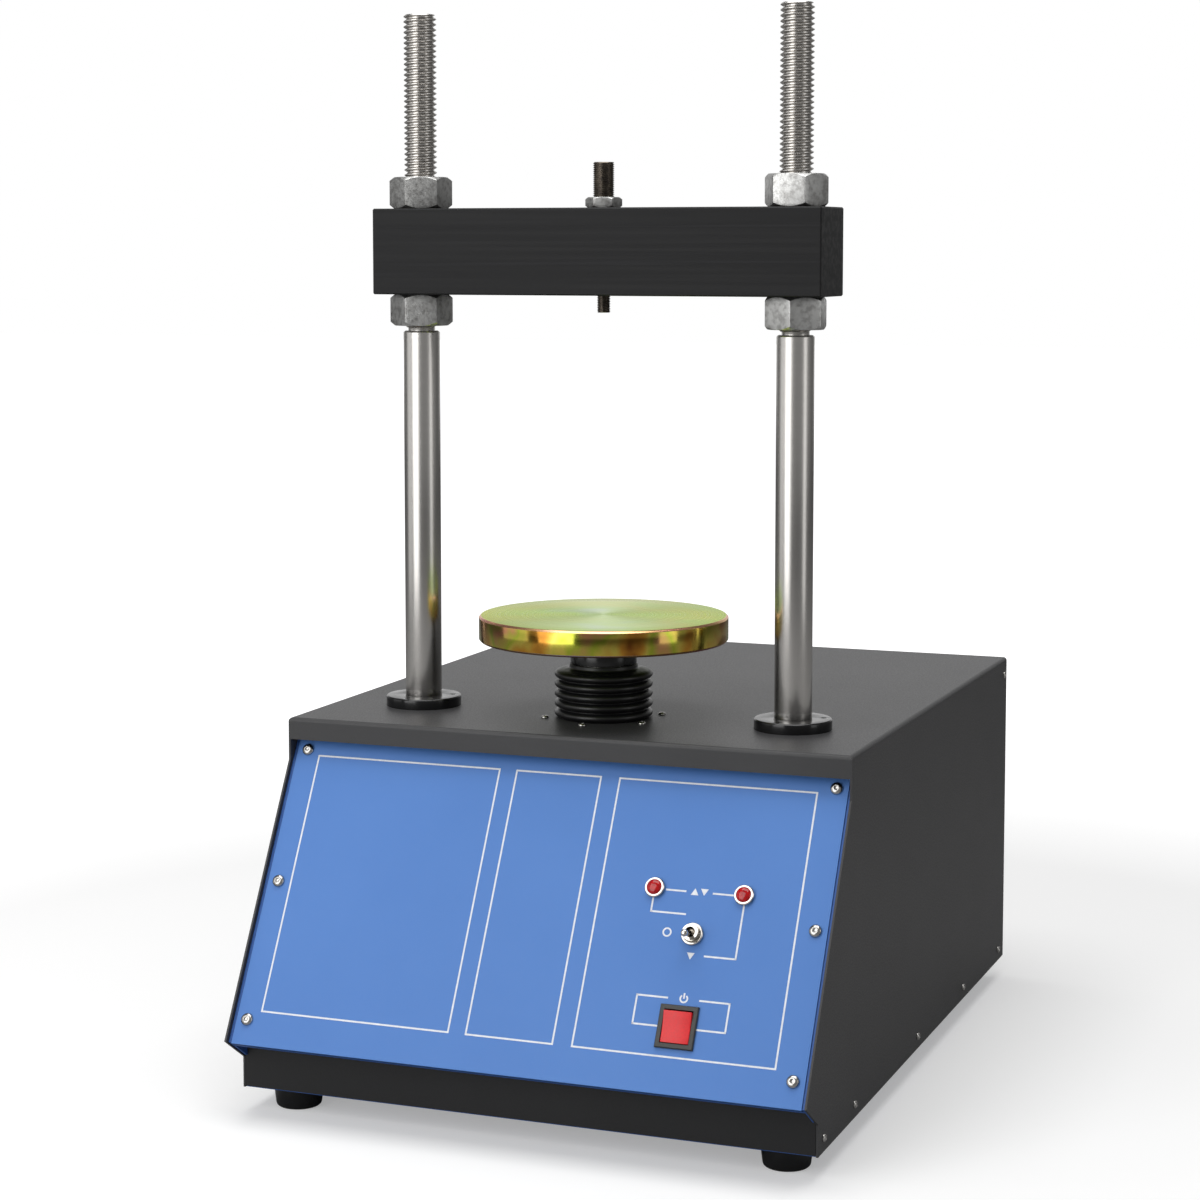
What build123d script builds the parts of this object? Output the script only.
from build123d import *
from math import acos, cos, hypot, pi, radians, sin, sqrt, tan
import os

# A motorised load frame that crushes asphalt specimens under a crosshead.
# Millimetres, +Z up, the front faces -Y. The origin is on the floor, under the middle of the base.

os.makedirs("parts", exist_ok=True)

# Base housing
base_width = 442.0
base_depth = 600.0
base_height = 264.0
foot_height = 18.0
panel_reach = 106.0
cheek_drop = 32.0
skirt_reach = 77.5
skirt_corner_height = 23.0
lip_height = 16.5
cover_sheet = 1.5
cover_bend = 3.0
tray_sheet = 2.0
tray_height = 36.0
panel_over_tray = 6.0
sheet_gap = 0.3
cut_past = 1.0
rear_recess = 8.0
skirt_drop = 1.0

# Feet
foot_top_radius = 19.0
foot_bottom_radius = 17.0
foot_edge = 2.0
foot_side_inset = 31.0
foot_front_inset = 29.0
foot_back_inset = 40.0

# Front panel and its frame
panel_sheet = 2.0
panel_inset = 3.0
panel_side_gap = 0.5
cheek_inset = 3.5
cheek_lift = 1.0
frame_flange = 18.0
frame_depth_behind_lip = 28.0
frame_least_ledge = 3.0
frame_ledge = 24.0

# Columns and what they stand in
column_spacing = 300.0
column_radius = 14.0
column_thread_step = 1.5
column_end_step = 2.0
column_height_over_cover = 531.0
ram_behind_lip = 91.0
shoulder_groove = 3.0
shoulder_groove_depth = 1.2
column_chamfer = 1.2
flange_width = 15.0
flange_height = 8.0
flange_chamfer = 0.8
plate_overhang = 50.0
plate_width = 120.0
plate_corner = 4.0
bed_thickness = 22.0
guide_plate_thickness = 12.0
guide_plate_gap = 3.0
pillar_radius = 11.0
pillar_x = 105.0
pillar_y = 45.0
collar_wall = 10.0
collar_height = 14.0
bed_nut_flats = 36.0
bed_nut_height = 19.0
column_past_nut = 3.0
thread_play = 0.05
hole_play = 0.5

# Crosshead, its nuts and the load stud
crosshead_overhang = 27.5
crosshead_depth = 58.0
crosshead_height = 65.0
crosshead_over_cover = 319.0
crosshead_edge = 1.0
nut_flats = 41.5
nut_height = 24.0
nut_seat_gap = 0.1
shoulder_under_nut = 4.0
stud_radius = 8.0
stud_chamfer = 1.0
stud_over_crosshead = 34.0
stud_end_radius = 5.0
stud_under_crosshead = 13.0
stud_groove = 1.0
stud_groove_depth = 0.8
stud_nut_flats = 24.0
stud_nut_height = 8.0
hex_chamfer = 1.5
hex_chamfer_angle = 30.0
flat_forward = 2.0
corner_forward = 37.0

# Ram, platen and bellows
platen_radius = 94.5
platen_thickness = 19.5
platen_over_cover = 78.0
platen_chamfer = 1.6
ram_radius = 23.5
ram_flange_radius = 32.0
ram_flange_height = 6.0
screw_radius = 20.0
screw_chamfer = 2.0
screw_tip_radius = 6.0
screw_room = 4.0
trip_disc_radius = 28.0
trip_disc_height = 4.0
trip_disc_gap = 4.0
keyway_width = 8.0
key_over_screw = 0.5
ram_rise = 50.0
ram_fall = 10.0
ram_stop_gap = 5.0
running_play = 0.05
bellows_room = 6.0
bellows_fold_depth = 6.0
bellows_wall = 2.0
bellows_folds = 5
bellows_fold_pitch = 7.4
bellows_neck_height = 4.0
bellows_neck_gap = 0.4

# Ram guide
bush_wall = 10.0
bush_over_hub = 6.5
bush_flange_width = 12.5
bush_flange_height = 8.0
key_height = 20.0
key_rise = 6.0
key_play = 0.1
keyway_spare = 2.0

# Screw jack
housing_flange = 12.0
housing_flange_width = 5.5
housing_wall = 6.0
housing_height = 78.0
housing_corner = 8.0
hub_bore_room = 3.5
hub_wall = 8.0
hub_collar_width = 9.0
hub_collar_height = 10.0
nut_length = 51.0
bearing_height = 10.0
bearing_gap = 0.1
bearing_bore_room = 6.0
hub_bush_wall = 5.0
hub_bush_length = 40.0
cavity_play = 2.0
housing_bolt_inset = 11.5
housing_bolt_radius = 5.0
housing_bolt_flats = 16.0
housing_bolt_head = 10.0

# Drive gears
gear_module = 2.5
gear_teeth = 72
pinion_teeth = 18
pressure_angle = 20.0
tooth_backlash = 0.4
tooth_foot = 1.25
gear_width = 18.0
pinion_overlap = 2.0
gear_over_housing = 4.0
ring_width = 11.0
ring_height = 6.0
flank_steps = 2

# Gearmotor
motor_square = 90.0
motor_corner = 10.0
motor_over_tray = 10.0
gearhead_length = 45.0
motor_shaft_radius = 7.5
shaft_in_gearhead = 14.0
shaft_over_pinion = 2.0
bracket_sheet = 6.0
bracket_leg = 4.0
bracket_depth = 80.0
bracket_foot = 20.0
bracket_gap = 3.0
motor_fin_depth = 2.0
motor_fins = 8

# Switches and lamps on the panel
control_side_inset = 101.0
lamp_pitch = 66.5
lamp_height = 144.0
lamp_bezel_radius = 7.3
lamp_bezel_proud = 3.0
lamp_hole_radius = 5.0
lamp_barrel_length = 24.0
lamp_bezel_edge = 0.6
lamp_lens_radius = 5.6
lamp_lens_sink = 2.1
lamp_lens_taper = 45.0
lamp_lens_proud = 1.8
toggle_height = 113.0
toggle_bushing_radius = 5.8
toggle_bushing_proud = 7.0
toggle_bore_radius = 3.8
toggle_bore_depth = 8.5
toggle_nut_width = 2.4
toggle_nut_height = 2.6
toggle_body_width = 15.0
toggle_body_height = 28.0
toggle_body_depth = 20.0
lever_pivot_proud = 2.5
lever_length = 18.0
lever_ball_play = 0.4
lever_ball_cut = 0.8
lever_root_radius = 1.6
lever_tip_radius = 2.7
lever_tip_edge = 1.0
lever_tilt = 14.0
rocker_height = 46.7
rocker_bezel_width = 28.0
rocker_bezel_height = 30.6
rocker_bezel_proud = 2.2
rocker_bezel_edge = 0.6
rocker_frame = 3.3
rocker_lip = 1.5
rocker_body_depth = 20.0
rocker_well_depth = 9.0
rocker_side_gap = 0.35
rocker_end_gap = 0.9
rocker_face_proud = 3.2
rocker_face_dip = 1.0
rocker_under = 5.0
rocker_taper = 0.9
rocker_tilt = 8.0

# Electrical gear on the tray
rail_length = 150.0
rail_width = 35.0
rail_height = 7.5
rail_sheet = 1.5
rail_lip = 5.0
contactor_width = 45.0
contactor_gap = 4.0
contactor_depth = 75.0
contactor_height = 80.0
contactor_step = 48.0
contactor_top_depth = 45.0
strip_side_inset = 81.0
strip_length = 90.0
strip_width = 22.0
strip_height = 18.0
strip_poles = 8
strip_groove_width = 2.8
strip_groove_depth = 9.0
capacitor_side_inset = 81.0
capacitor_edge = 2.0
capacitor_radius = 20.0
capacitor_height = 75.0
switch_post_width = 24.0
switch_post_sheet = 3.0
limit_body_width = 20.0
limit_body_depth = 10.0
limit_body_height = 16.0
limit_lever_gap = 1.0
limit_over_floor = 1.0

# Rear panel and mains inlet
vent_slots = 9
vent_slot_length = 90.0
vent_slot_width = 4.0
vent_pitch = 11.0
vent_x = 85.0
vent_z = 175.0
inlet_side_inset = 91.0
inlet_over_tray = 3.5
inlet_width = 27.0
inlet_height = 20.0
inlet_flange_width = 50.0
inlet_flange_height = 25.0
inlet_flange_corner = 4.0
inlet_flange = 3.0
inlet_body_depth = 24.0
inlet_wall = 1.8
inlet_well_depth = 16.0
inlet_pin_width = 2.0
inlet_pin_height = 4.0
inlet_pin_length = 13.0
inlet_pin_pitch = 7.0
inlet_pin_stagger = 2.0


# Heights and lines that several pieces share
top_z = foot_height + base_height
front_y = -base_depth / 2
back_y = base_depth / 2
lip_y = front_y + panel_reach
slant_z = top_z - cheek_drop
tray_floor_z = foot_height + tray_sheet
tray_top_z = foot_height + tray_height
panel_foot_z = tray_top_z + panel_over_tray
skirt_y = lip_y - skirt_reach
skirt_top_z = foot_height + skirt_corner_height
ram_y = lip_y + ram_behind_lip
inner_half = base_width / 2 - cover_sheet - sheet_gap
cover_under_z = top_z - cover_sheet
rear_face_y = back_y - rear_recess
rear_inner_y = rear_face_y - cover_sheet
control_x = base_width / 2 - control_side_inset
inlet_x = base_width / 2 - inlet_side_inset
inlet_z = tray_top_z + inlet_over_tray + inlet_flange_height / 2
post_x = column_spacing / 2
plate_length = column_spacing + 2 * plate_overhang
column_thread_radius = column_radius - column_thread_step
column_end_radius = column_radius - column_end_step
trip_disc_z = tray_floor_z + trip_disc_gap + ram_fall
screw_end_z = trip_disc_z + trip_disc_height
bed_z = screw_end_z + ram_rise + trip_disc_gap
bed_top_z = bed_z + bed_thickness
guide_plate_z = cover_under_z - guide_plate_thickness
crosshead_z = top_z + crosshead_over_cover
crosshead_top_z = crosshead_z + crosshead_height
platen_top_z = top_z + platen_over_cover
platen_z = platen_top_z - platen_thickness
column_places = [(-post_x, ram_y), (post_x, ram_y)]
slant_run = panel_reach / (slant_z - panel_foot_z)
slant_length = hypot(panel_reach, slant_z - panel_foot_z)
slant_cos = (slant_z - panel_foot_z) / slant_length
slant_sin = panel_reach / slant_length
chamfer_run = (panel_foot_z - skirt_top_z) / (skirt_y - front_y)
right = Vector(1, 0, 0)
panel_up = Vector(0, slant_sin, slant_cos)
panel_out = Vector(0, -slant_cos, slant_sin)
panel_foot = Vector(0, front_y, panel_foot_z) - panel_out * panel_inset


def save(builder, name):
    """Label a finished piece and write it to its own file."""
    builder.part.label = name
    export_step(builder.part, f"parts/{name}.step")


def slant_y(z, inset):
    """The line of the slanted front, moved into the base by inset, at height z."""
    return front_y + (z - panel_foot_z) * slant_run + inset / slant_cos


def chamfer_z(y, lift):
    """The sloping edge under the panel's foot, moved up into the base by lift, at depth y."""
    return panel_foot_z - (y - front_y) * chamfer_run + lift * hypot(1, chamfer_run)


def heel(inset, lift):
    """Where the inset slant meets the lifted sloping edge, as (y, z)."""
    across = inset / slant_cos
    rise = lift * hypot(1, chamfer_run)
    run = (rise * slant_run + across) / (1 + slant_run * chamfer_run)
    return front_y + run, panel_foot_z - run * chamfer_run + rise


def on_panel(x, up, out=0.0):
    """A plane on the panel's face: x to the right, its y up the slope, facing the user."""
    place = panel_foot + right * x + panel_up * up + panel_out * out
    return Plane(origin=place, x_dir=right, z_dir=panel_out)


def ring(inner, outer, z, height):
    """A plain ring about the ram's axis."""
    with BuildPart() as piece:
        with BuildSketch(Plane.XY.offset(z)):
            with Locations((0, ram_y)):
                Circle(outer)
                Circle(inner, mode=Mode.SUBTRACT)
        extrude(amount=height)
    return piece


def turning_plane(x, y):
    """An upright plane whose own y runs up the vertical axis at (x, y)."""
    return Plane(origin=(x, y, 0), x_dir=(1, 0, 0), z_dir=(0, -1, 0))


def upright(x, y):
    """The vertical axis at (x, y)."""
    return Axis((x, y, 0), (0, 0, 1))


def turned(x, y, profile):
    """A solid turned about the vertical axis at (x, y), from corners given as (radius, z)."""
    with BuildPart() as piece:
        with BuildSketch(turning_plane(x, y)):
            with BuildLine():
                Polyline(*profile, close=True)
            make_face()
        revolve(axis=upright(x, y))
    return piece


def hex_nut(places, z, flats, height, bore, turn):
    """Hexagon nuts with turned corners, one solid at each place, turned by an angle in degrees."""
    start = flats / sqrt(3) - hex_chamfer
    end = flats / sqrt(3) + hex_chamfer
    slope = (end - start) * tan(radians(hex_chamfer_angle))
    with BuildPart() as piece:
        with BuildSketch(Plane.XY.offset(z)):
            with Locations(*places):
                RegularPolygon(flats / 2, 6, major_radius=False, rotation=turn)
                Circle(bore, mode=Mode.SUBTRACT)
        extrude(amount=height)
        for x, y in places:
            for face_z, way in ((z, 1), (z + height, -1)):
                with BuildSketch(turning_plane(x, y)):
                    with BuildLine():
                        Polyline((start, face_z), (end, face_z), (end, face_z + way * slope), close=True)
                    make_face()
                revolve(axis=upright(x, y), mode=Mode.SUBTRACT)
    return piece


def tooth_outline(teeth, module, backlash, first):
    """The corners of a spur gear with a tooth at the angle first: flat facets on involute flanks."""
    pitch_radius = teeth * module / 2
    base_radius = pitch_radius * cos(radians(pressure_angle))
    tip_radius = pitch_radius + module
    root_radius = pitch_radius - tooth_foot * module
    start = max(base_radius, root_radius)

    def spread(radius):
        roll = acos(base_radius / radius)
        return tan(roll) - roll

    half_pitch = pi / (2 * teeth) - backlash / (4 * pitch_radius)
    half_pitch += spread(pitch_radius)
    flank = []
    for step in range(flank_steps + 1):
        radius = start + (tip_radius - start) * step / flank_steps
        flank.append((radius, half_pitch - spread(radius)))
    if root_radius < start:
        flank.insert(0, (root_radius, flank[0][1]))
    corners = []
    for tooth in range(teeth):
        middle = first + 2 * pi * tooth / teeth
        sides = [(r, middle - a) for r, a in flank]
        sides += [(r, middle + a) for r, a in reversed(flank)]
        corners += [(r * cos(a), r * sin(a)) for r, a in sides]
    return corners


# Cover: one sheet folded over the top and both sides, with a lip along the front
side_outline = [
    (lip_y, top_z),
    (lip_y, slant_z),
    (front_y, panel_foot_z),
    (skirt_y, skirt_top_z),
    (skirt_y, foot_height),
    (back_y, foot_height),
    (back_y, top_z),
]
cover_room = [
    (front_y - cut_past, foot_height - cut_past),
    (front_y - cut_past, top_z - lip_height),
    (lip_y + cover_sheet, top_z - lip_height),
    (lip_y + cover_sheet, cover_under_z),
    (back_y + cut_past, cover_under_z),
    (back_y + cut_past, foot_height - cut_past),
]
bellows_waist_radius = ram_radius + bellows_room + bellows_wall
ram_hole_radius = bellows_waist_radius - 2 * bellows_wall
with BuildPart() as cover:
    with BuildSketch(Plane.YZ):
        with BuildLine():
            Polyline(*side_outline, close=True)
        make_face()
    extrude(amount=base_width / 2, both=True)
    top_edges = cover.edges().group_by(Axis.Z)[-1]
    fillet(top_edges.filter_by(Axis.Y) + top_edges.filter_by(Axis.X).group_by(Axis.Y)[0], cover_bend)
    with BuildSketch(Plane.YZ):
        with BuildLine():
            Polyline(*cover_room, close=True)
        make_face()
    extrude(amount=base_width / 2 - cover_sheet, both=True, mode=Mode.SUBTRACT)
    with BuildSketch(Plane.XY.offset(top_z)):
        with Locations(*column_places):
            Circle(column_radius + hole_play)
        with Locations((0, ram_y)):
            Circle(ram_hole_radius)
    extrude(amount=-cover_sheet, mode=Mode.SUBTRACT)
save(cover, "cover")

# Chassis tray: a shallow open box that everything inside stands on
tray_front_y = skirt_y + cover_sheet
tray_depth = rear_inner_y - sheet_gap - tray_front_y
tray_middle_y = tray_front_y + tray_depth / 2
with BuildPart() as chassis_tray:
    with BuildSketch(Plane.XY.offset(foot_height)):
        with Locations((0, tray_middle_y)):
            Rectangle(2 * inner_half, tray_depth)
    extrude(amount=tray_top_z - foot_height)
    with BuildSketch(Plane.XY.offset(tray_floor_z)):
        with Locations((0, tray_middle_y)):
            Rectangle(2 * (inner_half - tray_sheet), tray_depth - 2 * tray_sheet)
    extrude(amount=tray_top_z - tray_floor_z, mode=Mode.SUBTRACT)
save(chassis_tray, "chassis_tray")

# Front skirt: the black plate across the tray's front wall
skirt_height = tray_top_z - foot_height - skirt_drop
with BuildPart() as front_skirt:
    with BuildSketch(Plane.XZ.offset(-skirt_y)):
        with Locations((0, tray_top_z - skirt_height / 2)):
            Rectangle(2 * inner_half, skirt_height)
    extrude(amount=-cover_sheet)
save(front_skirt, "front_skirt")

# Front frame: cheeks, ledges and the flange that the panel is screwed to
frame_floor_z = tray_top_z + sheet_gap
frame_top_z = cover_under_z - sheet_gap
flange_inset = panel_inset + panel_sheet
ledge_back_y = slant_y(frame_top_z, flange_inset + tray_sheet) + frame_least_ledge
frame_back_y = max(lip_y + frame_depth_behind_lip, ledge_back_y)
cheek_heel_y, cheek_heel_z = heel(cheek_inset, cheek_lift)
cheek_toe_y = skirt_y - sheet_gap
cheek_outline = [
    (slant_y(frame_top_z, cheek_inset), frame_top_z),
    (cheek_heel_y, cheek_heel_z),
    (cheek_toe_y, chamfer_z(cheek_toe_y, cheek_lift)),
    (cheek_toe_y, frame_floor_z),
    (frame_back_y, frame_floor_z),
    (frame_back_y, frame_top_z),
]
frame_room = [
    (slant_y(frame_top_z - tray_sheet, flange_inset + tray_sheet), frame_top_z - tray_sheet),
    (slant_y(frame_floor_z + tray_sheet, flange_inset + tray_sheet), frame_floor_z + tray_sheet),
    (frame_back_y + cut_past, frame_floor_z + tray_sheet),
    (frame_back_y + cut_past, frame_top_z - tray_sheet),
]
panel_pocket = [
    (slant_y(top_z, -cut_past), top_z),
    (slant_y(foot_height, -cut_past), foot_height),
    (slant_y(foot_height, flange_inset), foot_height),
    (slant_y(top_z, flange_inset), top_z),
]
under_ledge = [
    (front_y - cut_past, foot_height),
    (front_y - cut_past, frame_floor_z),
    (skirt_y, frame_floor_z),
    (skirt_y, foot_height),
]
ledge_end_y = slant_y(frame_floor_z, flange_inset) + frame_ledge
behind_ledge = [
    (ledge_end_y, foot_height),
    (ledge_end_y, frame_floor_z + 2 * tray_sheet),
    (frame_back_y + cut_past, frame_floor_z + 2 * tray_sheet),
    (frame_back_y + cut_past, foot_height),
]
window_z = frame_floor_z + frame_flange
window_top_z = frame_top_z - frame_flange
with BuildPart() as front_frame:
    with BuildSketch(Plane.YZ):
        with BuildLine():
            Polyline(*cheek_outline, close=True)
        make_face()
    extrude(amount=inner_half, both=True)
    for room in (frame_room, panel_pocket, under_ledge, behind_ledge):
        with BuildSketch(Plane.YZ):
            with BuildLine():
                Polyline(*room, close=True)
            make_face()
        extrude(amount=inner_half - tray_sheet, both=True, mode=Mode.SUBTRACT)
    with BuildSketch(Plane.XZ.offset(-frame_back_y)):
        with BuildLine():
            Polyline(
                (frame_flange - inner_half, window_z),
                (frame_flange - inner_half, window_top_z),
                (inner_half - frame_flange, window_top_z),
                (inner_half - frame_flange, window_z),
                close=True,
            )
        make_face()
    extrude(amount=frame_back_y - front_y + cut_past, mode=Mode.SUBTRACT)
save(front_frame, "front_frame")

# Front panel: a flat plate with the holes for its lamps and switches
panel_half = inner_half - tray_sheet - panel_side_gap
panel_top = (cover_under_z - sheet_gap - panel_foot.Z) / slant_cos
lamp_places = [(control_x - lamp_pitch / 2, lamp_height), (control_x + lamp_pitch / 2, lamp_height)]
rocker_body_width = rocker_bezel_width - 2 * rocker_lip
rocker_body_height = rocker_bezel_height - 2 * rocker_lip
with BuildPart() as front_panel:
    with BuildSketch(on_panel(0, panel_top / 2)):
        Rectangle(2 * panel_half, panel_top)
    extrude(amount=-panel_sheet)
    with BuildSketch(on_panel(0, 0)):
        with Locations(*lamp_places):
            Circle(lamp_hole_radius + hole_play / 2)
        with Locations((control_x, toggle_height)):
            Circle(toggle_bushing_radius + hole_play / 2)
        with Locations((control_x, rocker_height)):
            Rectangle(rocker_body_width + hole_play, rocker_body_height + hole_play)
    extrude(amount=-panel_sheet, mode=Mode.SUBTRACT)
save(front_panel, "front_panel")

# Rear panel: slots for air and the cut-out for the mains inlet
rear_height = cover_under_z - sheet_gap - foot_height
with BuildPart() as rear_panel:
    with BuildSketch(Plane.XZ.offset(-rear_face_y)):
        with Locations((0, foot_height + rear_height / 2)):
            Rectangle(2 * inner_half, rear_height)
        with Locations((-vent_x, vent_z), (vent_x, vent_z)):
            with GridLocations(0, vent_pitch, 1, vent_slots):
                Rectangle(vent_slot_length, vent_slot_width, mode=Mode.SUBTRACT)
        with Locations((inlet_x, inlet_z)):
            Rectangle(inlet_width + hole_play, inlet_height + hole_play, mode=Mode.SUBTRACT)
    extrude(amount=cover_sheet)
save(rear_panel, "rear_panel")

# Mains inlet: a flanged moulding with an open well and three pins
with BuildPart() as mains_inlet:
    with BuildSketch(Plane.XZ.offset(-rear_face_y)):
        with Locations((inlet_x, inlet_z)):
            RectangleRounded(inlet_flange_width, inlet_flange_height, inlet_flange_corner)
    extrude(amount=-inlet_flange)
    with BuildSketch(Plane.XZ.offset(-rear_face_y)):
        with Locations((inlet_x, inlet_z)):
            Rectangle(inlet_width, inlet_height)
    extrude(amount=inlet_body_depth)
    with BuildSketch(Plane.XZ.offset(-rear_face_y - inlet_flange)):
        with Locations((inlet_x, inlet_z)):
            Rectangle(inlet_width - 2 * inlet_wall, inlet_height - 2 * inlet_wall)
    extrude(amount=inlet_well_depth + inlet_flange, mode=Mode.SUBTRACT)
save(mains_inlet, "mains_inlet")

inlet_well_y = rear_face_y - inlet_well_depth
inlet_pin_places = [
    (inlet_x - inlet_pin_pitch, inlet_z - inlet_pin_stagger),
    (inlet_x, inlet_z + inlet_pin_stagger),
    (inlet_x + inlet_pin_pitch, inlet_z - inlet_pin_stagger),
]
with BuildPart() as inlet_pins:
    with BuildSketch(Plane.XZ.offset(-inlet_well_y)):
        with Locations(*inlet_pin_places):
            Rectangle(inlet_pin_width, inlet_pin_height)
    extrude(amount=-inlet_pin_length)
save(inlet_pins, "inlet_pins")

# Rubber feet: tapered, with a chamfered lower edge
foot_x = base_width / 2 - foot_side_inset
foot_front_y = skirt_y + foot_front_inset
foot_back_y = back_y - foot_back_inset
foot_profile = [
    (0, 0),
    (foot_bottom_radius - foot_edge, 0),
    (foot_bottom_radius, foot_edge),
    (foot_top_radius, foot_height),
    (0, foot_height),
]
with BuildPart() as feet:
    for x in (-foot_x, foot_x):
        for y in (foot_front_y, foot_back_y):
            add(turned(x, y, foot_profile))
save(feet, "feet")

# Bed plate on its pillars, drilled for the columns and the screw
column_hole = column_end_radius + thread_play
with BuildPart() as bed_plate:
    with BuildSketch(Plane.XY.offset(bed_z)):
        with Locations((0, ram_y)):
            Rectangle(plate_length, plate_width)
    extrude(amount=bed_thickness)
    chamfer(bed_plate.edges().filter_by(Axis.Z), plate_corner)
    with BuildSketch(Plane.XY.offset(bed_z)):
        with Locations((0, ram_y)):
            Circle(screw_radius + screw_room)
        with Locations(*column_places):
            Circle(column_hole)
    extrude(amount=bed_thickness, mode=Mode.SUBTRACT)
save(bed_plate, "bed_plate")

with BuildPart() as bed_pillars:
    with BuildSketch(Plane.XY.offset(tray_floor_z)):
        with Locations((0, ram_y)):
            with GridLocations(2 * pillar_x, 2 * pillar_y, 2, 2):
                Circle(pillar_radius)
    extrude(amount=bed_z - tray_floor_z)
save(bed_pillars, "bed_pillars")

# Columns: a threaded upper end, a ground shank and a reduced end through the bed
shoulder_z = crosshead_z - nut_seat_gap - nut_height - shoulder_under_nut
column_top_z = top_z + column_height_over_cover
column_foot_z = bed_z - bed_nut_height - column_past_nut
groove_radius = column_thread_radius - shoulder_groove_depth
column_profile = [
    (0, column_foot_z),
    (column_end_radius, column_foot_z),
    (column_end_radius, bed_top_z),
    (column_radius, bed_top_z),
    (column_radius, shoulder_z - column_chamfer),
    (column_radius - column_chamfer, shoulder_z),
    (groove_radius, shoulder_z),
    (groove_radius, shoulder_z + shoulder_groove),
    (column_thread_radius, shoulder_z + shoulder_groove),
    (column_thread_radius, column_top_z - column_chamfer),
    (column_thread_radius - column_chamfer, column_top_z),
    (0, column_top_z),
]
for column_name, x in (("column_left", -post_x), ("column_right", post_x)):
    save(turned(x, ram_y, column_profile), column_name)

bed_nut_z = bed_z - bed_nut_height
bed_nuts = hex_nut(column_places, bed_nut_z, bed_nut_flats, bed_nut_height, column_hole, flat_forward)
save(bed_nuts, "bed_nuts")

# Guide plate under the cover, held on the columns by collars
plate_hole = column_radius + thread_play
bush_radius = ram_radius + bush_wall
guide_front_y = frame_back_y + guide_plate_gap
guide_depth = ram_y + plate_width / 2 - guide_front_y
with BuildPart() as guide_plate:
    with BuildSketch(Plane.XY.offset(guide_plate_z)):
        with Locations((0, guide_front_y + guide_depth / 2)):
            Rectangle(plate_length, guide_depth)
    extrude(amount=guide_plate_thickness)
    chamfer(guide_plate.edges().filter_by(Axis.Z), plate_corner)
    with BuildSketch(Plane.XY.offset(guide_plate_z)):
        with Locations((0, ram_y)):
            Circle(bush_radius)
        with Locations(*column_places):
            Circle(plate_hole)
    extrude(amount=guide_plate_thickness, mode=Mode.SUBTRACT)
save(guide_plate, "guide_plate")

with BuildPart() as support_collars:
    with BuildSketch(Plane.XY.offset(guide_plate_z - collar_height)):
        with Locations(*column_places):
            Circle(plate_hole + collar_wall)
            Circle(plate_hole, mode=Mode.SUBTRACT)
    extrude(amount=collar_height)
save(support_collars, "support_collars")

# Column flanges that close the holes in the cover
with BuildPart() as column_flanges:
    with BuildSketch(Plane.XY.offset(top_z)):
        with Locations(*column_places):
            Circle(plate_hole + flange_width)
    extrude(amount=flange_height)
    chamfer(column_flanges.edges().group_by(Axis.Z)[-1], flange_chamfer)
    with BuildSketch(Plane.XY.offset(top_z)):
        with Locations(*column_places):
            Circle(plate_hole)
    extrude(amount=flange_height, mode=Mode.SUBTRACT)
save(column_flanges, "column_flanges")

# Ram guide bush with its key
bush_bore = ram_radius + running_play
hub_z = bed_top_z + bearing_height
housing_top_z = bed_top_z + housing_height
gear_z = housing_top_z + gear_over_housing
hub_top_z = gear_z + gear_width + ring_height
bush_z = hub_top_z + bush_over_hub
bush_length = cover_under_z - bush_z
key_z = bush_z + key_rise
keyway_depth = ram_radius - screw_radius - key_over_screw
key_reach = ram_radius - keyway_depth + key_play
with BuildPart() as guide_bush:
    with BuildSketch(Plane.XY.offset(bush_z)):
        with Locations((0, ram_y)):
            Circle(bush_radius)
    extrude(amount=bush_length)
    with BuildSketch(Plane.XY.offset(guide_plate_z - bush_flange_height)):
        with Locations((0, ram_y)):
            Circle(bush_radius + bush_flange_width)
    extrude(amount=bush_flange_height)
    with BuildSketch(Plane.XY.offset(bush_z)):
        with Locations((0, ram_y)):
            Circle(bush_bore)
    extrude(amount=bush_length, mode=Mode.SUBTRACT)
    with BuildSketch(Plane.XY.offset(key_z)):
        with Locations((0, ram_y + bush_radius - bush_wall)):
            Rectangle(keyway_width, 2 * bush_wall)
    extrude(amount=key_height, mode=Mode.SUBTRACT)
save(guide_bush, "guide_bush")

with BuildPart() as guide_key:
    with BuildSketch(Plane.XY.offset(key_z)):
        with Locations((0, ram_y + (key_reach + bush_radius) / 2)):
            Rectangle(keyway_width - 2 * key_play, bush_radius - key_reach)
    extrude(amount=key_height)
save(guide_key, "guide_key")

# Ram: screw below, keyed guide above, a flange under the platen
ram_step_z = hub_z + nut_length + ram_fall + ram_stop_gap
ram_profile = [
    (0, trip_disc_z),
    (screw_tip_radius, trip_disc_z),
    (screw_tip_radius, screw_end_z),
    (screw_radius - screw_chamfer, screw_end_z),
    (screw_radius, screw_end_z + screw_chamfer),
    (screw_radius, ram_step_z),
    (ram_radius, ram_step_z),
    (ram_radius, platen_z - ram_flange_height),
    (ram_flange_radius, platen_z - ram_flange_height),
    (ram_flange_radius, platen_z),
    (0, platen_z),
]
keyway_top_z = key_z + key_height + ram_fall + keyway_spare
with BuildPart() as ram:
    with BuildSketch(turning_plane(0, ram_y)):
        with BuildLine():
            Polyline(*ram_profile, close=True)
        make_face()
    revolve(axis=upright(0, ram_y))
    with BuildSketch(Plane.XY.offset(ram_step_z)):
        with Locations((0, ram_y + ram_radius)):
            Rectangle(keyway_width, 2 * keyway_depth)
    extrude(amount=keyway_top_z - ram_step_z, mode=Mode.SUBTRACT)
save(ram, "ram")

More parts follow.
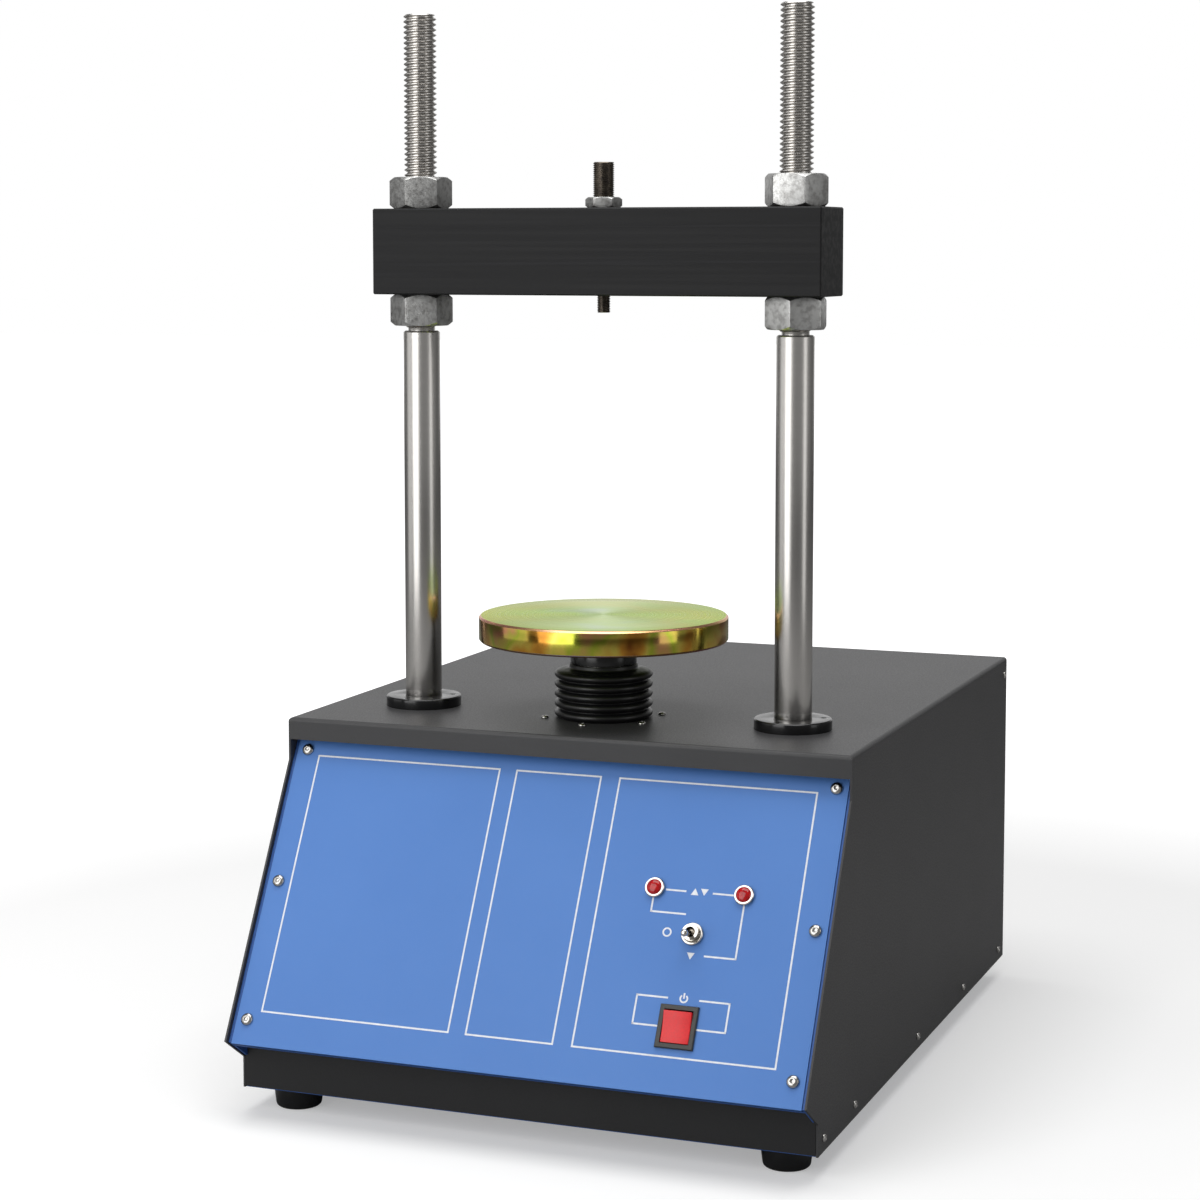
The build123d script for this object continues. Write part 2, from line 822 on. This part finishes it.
with BuildPart() as platen:
    with BuildSketch(Plane.XY.offset(platen_z)):
        with Locations((0, ram_y)):
            Circle(platen_radius)
    extrude(amount=platen_thickness)
    chamfer(platen.edges(), platen_chamfer)
save(platen, "platen")

trip_disc = ring(screw_tip_radius, trip_disc_radius, trip_disc_z, trip_disc_height)
save(trip_disc, "trip_disc")

# Bellows: straight-sided folds outside, a plain bore inside, a neck round the ram
neck_radius = ram_radius + bellows_neck_gap
bellows_bore = bellows_waist_radius - bellows_wall
bellows_radius = bellows_waist_radius + bellows_fold_depth
bellows_neck_z = top_z + bellows_fold_pitch * bellows_folds
folds = []
for fold in range(bellows_folds):
    fold_z = top_z + bellows_fold_pitch * fold
    folds.append((bellows_waist_radius, fold_z))
    folds.append((bellows_radius, fold_z + bellows_fold_pitch / 2))
bellows_profile = [(bellows_bore, top_z)] + folds
bellows_profile += [
    (neck_radius + bellows_wall, bellows_neck_z),
    (neck_radius + bellows_wall, bellows_neck_z + bellows_neck_height),
    (neck_radius, bellows_neck_z + bellows_neck_height),
    (neck_radius, bellows_neck_z - bellows_wall),
    (bellows_bore, bellows_neck_z - bellows_wall),
]
save(turned(0, ram_y, bellows_profile), "bellows")

# Jack housing: a square flange and a round body, hollow for the turning hub
hub_bore_radius = ram_radius + hub_bore_room
hub_radius = hub_bore_radius + hub_wall
hub_collar_radius = hub_radius + hub_collar_width
hub_bush_radius = hub_radius + hub_bush_wall
hub_bush_z = housing_top_z - hub_bush_length
housing_radius = hub_collar_radius + cavity_play + housing_wall
housing_square = 2 * (housing_radius + housing_flange_width)
bolt_span = housing_square - 2 * housing_bolt_inset
with BuildPart() as jack_housing:
    with BuildSketch(Plane.XY.offset(bed_top_z)):
        with Locations((0, ram_y)):
            RectangleRounded(housing_square, housing_square, housing_corner)
    extrude(amount=housing_flange)
    with BuildSketch(Plane.XY.offset(bed_top_z)):
        with Locations((0, ram_y)):
            Circle(housing_radius)
    extrude(amount=housing_height)
    with BuildSketch(Plane.XY.offset(bed_top_z)):
        with Locations((0, ram_y)):
            Circle(hub_collar_radius + cavity_play)
    extrude(amount=hub_bush_z - bed_top_z, mode=Mode.SUBTRACT)
    with BuildSketch(Plane.XY.offset(hub_bush_z)):
        with Locations((0, ram_y)):
            Circle(hub_bush_radius)
    extrude(amount=hub_bush_length, mode=Mode.SUBTRACT)
    with BuildSketch(Plane.XY.offset(bed_top_z)):
        with Locations((0, ram_y)):
            with GridLocations(bolt_span, bolt_span, 2, 2):
                Circle(housing_bolt_radius)
    extrude(amount=housing_flange, mode=Mode.SUBTRACT)
save(jack_housing, "jack_housing")

with BuildPart() as jack_bolts:
    with BuildSketch(Plane.XY.offset(bed_top_z)):
        with Locations((0, ram_y)):
            with GridLocations(bolt_span, bolt_span, 2, 2):
                Circle(housing_bolt_radius)
    extrude(amount=housing_flange)
    with BuildSketch(Plane.XY.offset(bed_top_z + housing_flange)):
        with Locations((0, ram_y)):
            with GridLocations(bolt_span, bolt_span, 2, 2):
                RegularPolygon(housing_bolt_flats / 2, 6, major_radius=False)
    extrude(amount=housing_bolt_head)
save(jack_bolts, "jack_bolts")

bearing_bore = screw_radius + bearing_bore_room
thrust_bearing = ring(bearing_bore, hub_collar_radius, bed_top_z, bearing_height - bearing_gap)
save(thrust_bearing, "thrust_bearing")

hub_bush = ring(hub_radius + running_play, hub_bush_radius, hub_bush_z, hub_bush_length)
save(hub_bush, "hub_bush")

# Nut hub: the threaded nut turns here and carries the big gear
nut_bore = screw_radius + thread_play
with BuildPart() as nut_hub:
    with BuildSketch(Plane.XY.offset(hub_z)):
        with Locations((0, ram_y)):
            Circle(hub_radius)
    extrude(amount=hub_top_z - hub_z)
    with BuildSketch(Plane.XY.offset(hub_z)):
        with Locations((0, ram_y)):
            Circle(hub_collar_radius)
    extrude(amount=hub_collar_height)
    with BuildSketch(Plane.XY.offset(hub_z)):
        with Locations((0, ram_y)):
            Circle(nut_bore)
    extrude(amount=nut_length, mode=Mode.SUBTRACT)
    with BuildSketch(Plane.XY.offset(hub_z + nut_length)):
        with Locations((0, ram_y)):
            Circle(hub_bore_radius)
    extrude(amount=hub_top_z - hub_z - nut_length, mode=Mode.SUBTRACT)
save(nut_hub, "nut_hub")

# Drive gear on the hub: a tooth of it points at the pinion
gear_centres = gear_module * (gear_teeth + pinion_teeth) / 2
motor_y = ram_y + gear_centres
with BuildPart() as drive_gear:
    with BuildSketch(Plane(origin=(0, ram_y, gear_z))):
        with BuildLine():
            Polyline(*tooth_outline(gear_teeth, gear_module, tooth_backlash, pi / 2), close=True)
        make_face()
        Circle(hub_radius, mode=Mode.SUBTRACT)
    extrude(amount=gear_width)
save(drive_gear, "drive_gear")

hub_ring = ring(hub_radius, hub_radius + ring_width, gear_z + gear_width, ring_height)
save(hub_ring, "hub_ring")

# Pinion cut on the gearmotor's shaft: a space of it takes the gear's tooth
pinion_z = gear_z - pinion_overlap
pinion_width = gear_width + 2 * pinion_overlap
pinion_first = pi / pinion_teeth - pi / 2
bracket_top_z = pinion_z - bracket_gap
gearhead_top_z = bracket_top_z - bracket_sheet
gearhead_z = gearhead_top_z - gearhead_length
shaft_z = gearhead_top_z - shaft_in_gearhead
shaft_top_z = pinion_z + pinion_width + shaft_over_pinion
with BuildPart() as motor_pinion:
    with BuildSketch(Plane(origin=(0, motor_y, pinion_z))):
        with BuildLine():
            Polyline(
                *tooth_outline(pinion_teeth, gear_module, tooth_backlash, pinion_first),
                close=True,
            )
        make_face()
    extrude(amount=pinion_width)
    with BuildSketch(Plane.XY.offset(shaft_z)):
        with Locations((0, motor_y)):
            Circle(motor_shaft_radius)
    extrude(amount=shaft_top_z - shaft_z)
save(motor_pinion, "motor_pinion")

# Gearmotor hung from its bracket, with the output shaft upwards
with BuildPart() as gearhead:
    with BuildSketch(Plane.XY.offset(gearhead_z)):
        with Locations((0, motor_y)):
            RectangleRounded(motor_square, motor_square, motor_corner)
    extrude(amount=gearhead_length)
    with BuildSketch(Plane.XY.offset(shaft_z - bearing_gap)):
        with Locations((0, motor_y)):
            Circle(motor_shaft_radius + running_play)
    extrude(amount=shaft_in_gearhead + bearing_gap, mode=Mode.SUBTRACT)
save(gearhead, "gearhead")

motor_z = tray_floor_z + motor_over_tray
motor_length = gearhead_z - motor_z
fin_pitch = motor_length / (motor_fins + 1)
with BuildPart() as motor:
    with BuildSketch(Plane.XY.offset(motor_z)):
        with Locations((0, motor_y)):
            RectangleRounded(motor_square, motor_square, motor_corner)
    extrude(amount=motor_length)
    for fin in range(motor_fins):
        with BuildSketch(Plane.XY.offset(motor_z + fin_pitch * (fin + 1))):
            with Locations((0, motor_y)):
                Rectangle(motor_square + motor_fin_depth, motor_square + motor_fin_depth)
                Rectangle(
                    motor_square - 2 * motor_fin_depth,
                    motor_square - 2 * motor_fin_depth,
                    mode=Mode.SUBTRACT,
                )
        extrude(amount=fin_pitch / 4, both=True, mode=Mode.SUBTRACT)
save(motor, "motor")

bracket_half = motor_square / 2 + bracket_gap + bracket_leg
bracket_outline = [
    (-bracket_half - bracket_foot, tray_floor_z),
    (-bracket_half - bracket_foot, tray_floor_z + bracket_leg),
    (-bracket_half, tray_floor_z + bracket_leg),
    (-bracket_half, bracket_top_z),
    (bracket_half, bracket_top_z),
    (bracket_half, tray_floor_z + bracket_leg),
    (bracket_half + bracket_foot, tray_floor_z + bracket_leg),
    (bracket_half + bracket_foot, tray_floor_z),
    (bracket_half - bracket_leg, tray_floor_z),
    (bracket_half - bracket_leg, gearhead_top_z),
    (bracket_leg - bracket_half, gearhead_top_z),
    (bracket_leg - bracket_half, tray_floor_z),
]
bracket_y = motor_y - motor_square / 2 + bracket_depth / 2
with BuildPart() as motor_bracket:
    with BuildSketch(Plane.XZ.offset(-bracket_y)):
        with BuildLine():
            Polyline(*bracket_outline, close=True)
        make_face()
    extrude(amount=bracket_depth / 2, both=True)
    with BuildSketch(Plane.XY.offset(gearhead_top_z)):
        with Locations((0, motor_y)):
            Circle(motor_shaft_radius + bracket_gap)
    extrude(amount=bracket_sheet, mode=Mode.SUBTRACT)
save(motor_bracket, "motor_bracket")

# Crosshead: a bar with a clearance hole at each column and a tapped middle
with BuildPart() as crosshead:
    with BuildSketch(Plane.XY.offset(crosshead_z)):
        with Locations((0, ram_y)):
            Rectangle(column_spacing + 2 * crosshead_overhang, crosshead_depth)
    extrude(amount=crosshead_height)
    chamfer(crosshead.edges(), crosshead_edge)
    with BuildSketch(Plane.XY.offset(crosshead_z)):
        with Locations(*column_places):
            Circle(column_thread_radius + hole_play)
        with Locations((0, ram_y)):
            Circle(stud_radius)
    extrude(amount=crosshead_height, mode=Mode.SUBTRACT)
save(crosshead, "crosshead")

nut_under_z = crosshead_z - nut_seat_gap - nut_height
nut_over_z = crosshead_top_z + nut_seat_gap
column_nut_bore = column_thread_radius + thread_play
nut_places = {
    "nut_lower_left": (-post_x, nut_under_z, flat_forward),
    "nut_lower_right": (post_x, nut_under_z, corner_forward),
    "nut_upper_left": (-post_x, nut_over_z, flat_forward),
    "nut_upper_right": (post_x, nut_over_z, flat_forward),
}
for nut_name, (x, z, turn) in nut_places.items():
    save(hex_nut([(x, ram_y)], z, nut_flats, nut_height, column_nut_bore, turn), nut_name)

# Load stud: its thread above the crosshead starts at a groove inside the jam nut
stud_top_z = crosshead_top_z + stud_over_crosshead
stud_thread_z = crosshead_top_z + stud_nut_height
stud_profile = [
    (0, crosshead_z - stud_under_crosshead),
    (stud_end_radius, crosshead_z - stud_under_crosshead),
    (stud_end_radius, crosshead_z),
    (stud_radius, crosshead_z),
    (stud_radius, stud_thread_z - stud_groove),
    (stud_radius - stud_groove_depth, stud_thread_z - stud_groove),
    (stud_radius - stud_groove_depth, stud_thread_z),
    (stud_radius, stud_thread_z),
    (stud_radius, stud_top_z - stud_chamfer),
    (stud_radius - stud_chamfer, stud_top_z),
    (0, stud_top_z),
]
save(turned(0, ram_y, stud_profile), "load_stud")

stud_nut = hex_nut(
    [(0, ram_y)], crosshead_top_z, stud_nut_flats, stud_nut_height, stud_radius, flat_forward
)
save(stud_nut, "stud_nut")

# Lamps: turned bezels with a barrel behind the panel, and domed lenses
with BuildPart() as lamp_bezels:
    with BuildSketch(on_panel(0, 0)):
        with Locations(*lamp_places):
            Circle(lamp_bezel_radius)
    extrude(amount=lamp_bezel_proud)
    chamfer(lamp_bezels.edges().filter_by(GeomType.CIRCLE), lamp_bezel_edge)
    with BuildSketch(on_panel(0, 0)):
        with Locations(*lamp_places):
            Circle(lamp_hole_radius)
    extrude(amount=-lamp_barrel_length)
    with BuildSketch(on_panel(0, 0, lamp_bezel_proud)):
        with Locations(*lamp_places):
            Circle(lamp_lens_radius)
    extrude(amount=-lamp_lens_sink, mode=Mode.SUBTRACT)
save(lamp_bezels, "lamp_bezels")

with BuildPart() as lamp_lenses:
    with BuildSketch(on_panel(0, 0, lamp_bezel_proud - lamp_lens_sink)):
        with Locations(*lamp_places):
            Circle(lamp_lens_radius)
    extrude(amount=lamp_lens_sink)
    with BuildSketch(on_panel(0, 0, lamp_bezel_proud)):
        with Locations(*lamp_places):
            Circle(lamp_lens_radius)
    extrude(amount=lamp_lens_proud, taper=lamp_lens_taper)
save(lamp_lenses, "lamp_lenses")

# Toggle switch: body and bushing, dress nut and bat lever
with BuildPart() as toggle_body:
    with BuildSketch(on_panel(control_x, toggle_height, -panel_sheet)):
        Rectangle(toggle_body_width, toggle_body_height)
    extrude(amount=-toggle_body_depth)
    with BuildSketch(on_panel(control_x, toggle_height, -panel_sheet)):
        Circle(toggle_bushing_radius)
    extrude(amount=panel_sheet + toggle_bushing_proud)
    with BuildSketch(on_panel(control_x, toggle_height, toggle_bushing_proud)):
        Circle(toggle_bore_radius)
    extrude(amount=-toggle_bore_depth, mode=Mode.SUBTRACT)
save(toggle_body, "toggle_body")

with BuildPart() as toggle_nut:
    with BuildSketch(on_panel(control_x, toggle_height)):
        Circle(toggle_bushing_radius + toggle_nut_width)
        Circle(toggle_bushing_radius, mode=Mode.SUBTRACT)
    extrude(amount=toggle_nut_height)
save(toggle_nut, "toggle_nut")

# The lever's ball turns in the bushing's bore, and the lever rests tilted down
ball_radius = toggle_bore_radius - lever_ball_play
lever_pivot = on_panel(control_x, toggle_height, lever_pivot_proud).origin
lever_way = panel_out * cos(radians(lever_tilt)) - panel_up * sin(radians(lever_tilt))
lever_profile = [
    (0, -ball_radius + lever_ball_cut),
    (ball_radius, -ball_radius + 2 * lever_ball_cut),
    (ball_radius, ball_radius - 2 * lever_ball_cut),
    (lever_root_radius, ball_radius - lever_ball_cut),
    (lever_tip_radius, lever_length - lever_tip_edge),
    (lever_tip_radius - lever_tip_edge, lever_length),
    (0, lever_length),
]
with BuildPart() as toggle_lever:
    with BuildSketch(Plane(lever_pivot, x_dir=right, z_dir=right.cross(lever_way))):
        with BuildLine():
            Polyline(*lever_profile, close=True)
        make_face()
    revolve(axis=Axis(lever_pivot, lever_way))
save(toggle_lever, "toggle_lever")

# Power switch: a framed body with a well, and a rocker that stands out at the top
with BuildPart() as power_switch:
    with BuildSketch(on_panel(control_x, rocker_height)):
        Rectangle(rocker_bezel_width, rocker_bezel_height)
    extrude(amount=rocker_bezel_proud)
    bezel_face = power_switch.faces().sort_by(Axis(panel_foot, panel_out))[-1]
    chamfer(bezel_face.edges(), rocker_bezel_edge)
    with BuildSketch(on_panel(control_x, rocker_height)):
        Rectangle(rocker_body_width, rocker_body_height)
    extrude(amount=-rocker_body_depth)
    with BuildSketch(on_panel(control_x, rocker_height, rocker_bezel_proud)):
        Rectangle(rocker_bezel_width - 2 * rocker_frame, rocker_bezel_height - 2 * rocker_frame)
    extrude(amount=-rocker_bezel_proud - rocker_well_depth, mode=Mode.SUBTRACT)
save(power_switch, "power_switch")

rocker_half = rocker_bezel_height / 2 - rocker_frame - rocker_end_gap
rocker_root_half = rocker_half - rocker_taper
rocker_width = rocker_bezel_width - 2 * rocker_frame - 2 * rocker_side_gap
rocker_turn = radians(rocker_tilt)
rocker_up = panel_up * cos(rocker_turn) + panel_out * sin(rocker_turn)
rocker_plane = Plane(origin=on_panel(control_x, rocker_height).origin, x_dir=rocker_up, z_dir=right)
with BuildPart() as power_rocker:
    with BuildSketch(rocker_plane):
        with BuildLine():
            Polyline(
                (-rocker_half, rocker_face_proud),
                (0, rocker_face_proud - rocker_face_dip),
                (rocker_half, rocker_face_proud),
                (rocker_root_half, -rocker_under),
                (-rocker_root_half, -rocker_under),
                close=True,
            )
        make_face()
    extrude(amount=rocker_width / 2, both=True)
save(power_rocker, "power_rocker")

# Control gear on a rail, with the terminal strip and the motor's capacitor beside it
gear_bay_y = (motor_y + motor_square / 2 + rear_inner_y) / 2
strip_x = strip_side_inset - base_width / 2
capacitor_x = base_width / 2 - capacitor_side_inset
rail_web_half = rail_width / 2 - rail_lip
rail_half_profile = [
    (0, 0),
    (rail_web_half + rail_sheet, 0),
    (rail_web_half + rail_sheet, rail_height - rail_sheet),
    (rail_width / 2, rail_height - rail_sheet),
    (rail_width / 2, rail_height),
    (rail_web_half, rail_height),
    (rail_web_half, rail_sheet),
    (0, rail_sheet),
]
with BuildPart() as din_rail:
    with BuildSketch(Plane(origin=(0, gear_bay_y, tray_floor_z), x_dir=(0, 1, 0), z_dir=(1, 0, 0))):
        with BuildLine():
            Polyline(*rail_half_profile, close=True)
        make_face()
        mirror(about=Plane.YZ)
    extrude(amount=rail_length / 2, both=True)
save(din_rail, "din_rail")

contactor_z = tray_floor_z + rail_height
with BuildPart() as contactors:
    with BuildSketch(Plane.XY.offset(contactor_z)):
        with Locations((0, gear_bay_y)):
            with GridLocations(contactor_width + contactor_gap, 0, 2, 1):
                Rectangle(contactor_width, contactor_depth)
    extrude(amount=contactor_step)
    with BuildSketch(Plane.XY.offset(contactor_z + contactor_step)):
        with Locations((0, gear_bay_y)):
            with GridLocations(contactor_width + contactor_gap, 0, 2, 1):
                Rectangle(contactor_width, contactor_top_depth)
    extrude(amount=contactor_height - contactor_step)
save(contactors, "contactors")

with BuildPart() as terminal_strip:
    with BuildSketch(Plane.XY.offset(tray_floor_z)):
        with Locations((strip_x, gear_bay_y)):
            Rectangle(strip_width, strip_length)
    extrude(amount=strip_height)
    with BuildSketch(Plane.XY.offset(tray_floor_z + strip_height)):
        with Locations((strip_x, gear_bay_y)):
            with GridLocations(0, strip_length / strip_poles, 1, strip_poles - 1):
                Rectangle(strip_width, strip_groove_width)
    extrude(amount=-strip_groove_depth, mode=Mode.SUBTRACT)
save(terminal_strip, "terminal_strip")

with BuildPart() as run_capacitor:
    with BuildSketch(Plane.XY.offset(tray_floor_z)):
        with Locations((capacitor_x, gear_bay_y)):
            Circle(capacitor_radius)
    extrude(amount=capacitor_height)
    chamfer(run_capacitor.edges().group_by(Axis.Z)[-1], capacitor_edge)
save(run_capacitor, "run_capacitor")

# Limit switches on a post in front of the trip disc, at the two ends of its travel
limit_tip_y = ram_y - trip_disc_radius - limit_lever_gap
post_face_y = limit_tip_y - limit_body_depth
with BuildPart() as switch_post:
    with BuildSketch(Plane.XZ.offset(-post_face_y)):
        with Locations((0, (tray_floor_z + bed_z) / 2)):
            Rectangle(switch_post_width, bed_z - tray_floor_z)
    extrude(amount=switch_post_sheet)
save(switch_post, "switch_post")

limit_low_z = tray_floor_z + limit_over_floor + limit_body_height / 2
limit_high_z = screw_end_z + ram_rise - limit_body_height / 2
with BuildPart() as limit_switches:
    with BuildSketch(Plane.XZ.offset(-post_face_y)):
        with Locations((0, limit_low_z), (0, limit_high_z)):
            Rectangle(limit_body_width, limit_body_height)
    extrude(amount=-limit_body_depth)
save(limit_switches, "limit_switches")
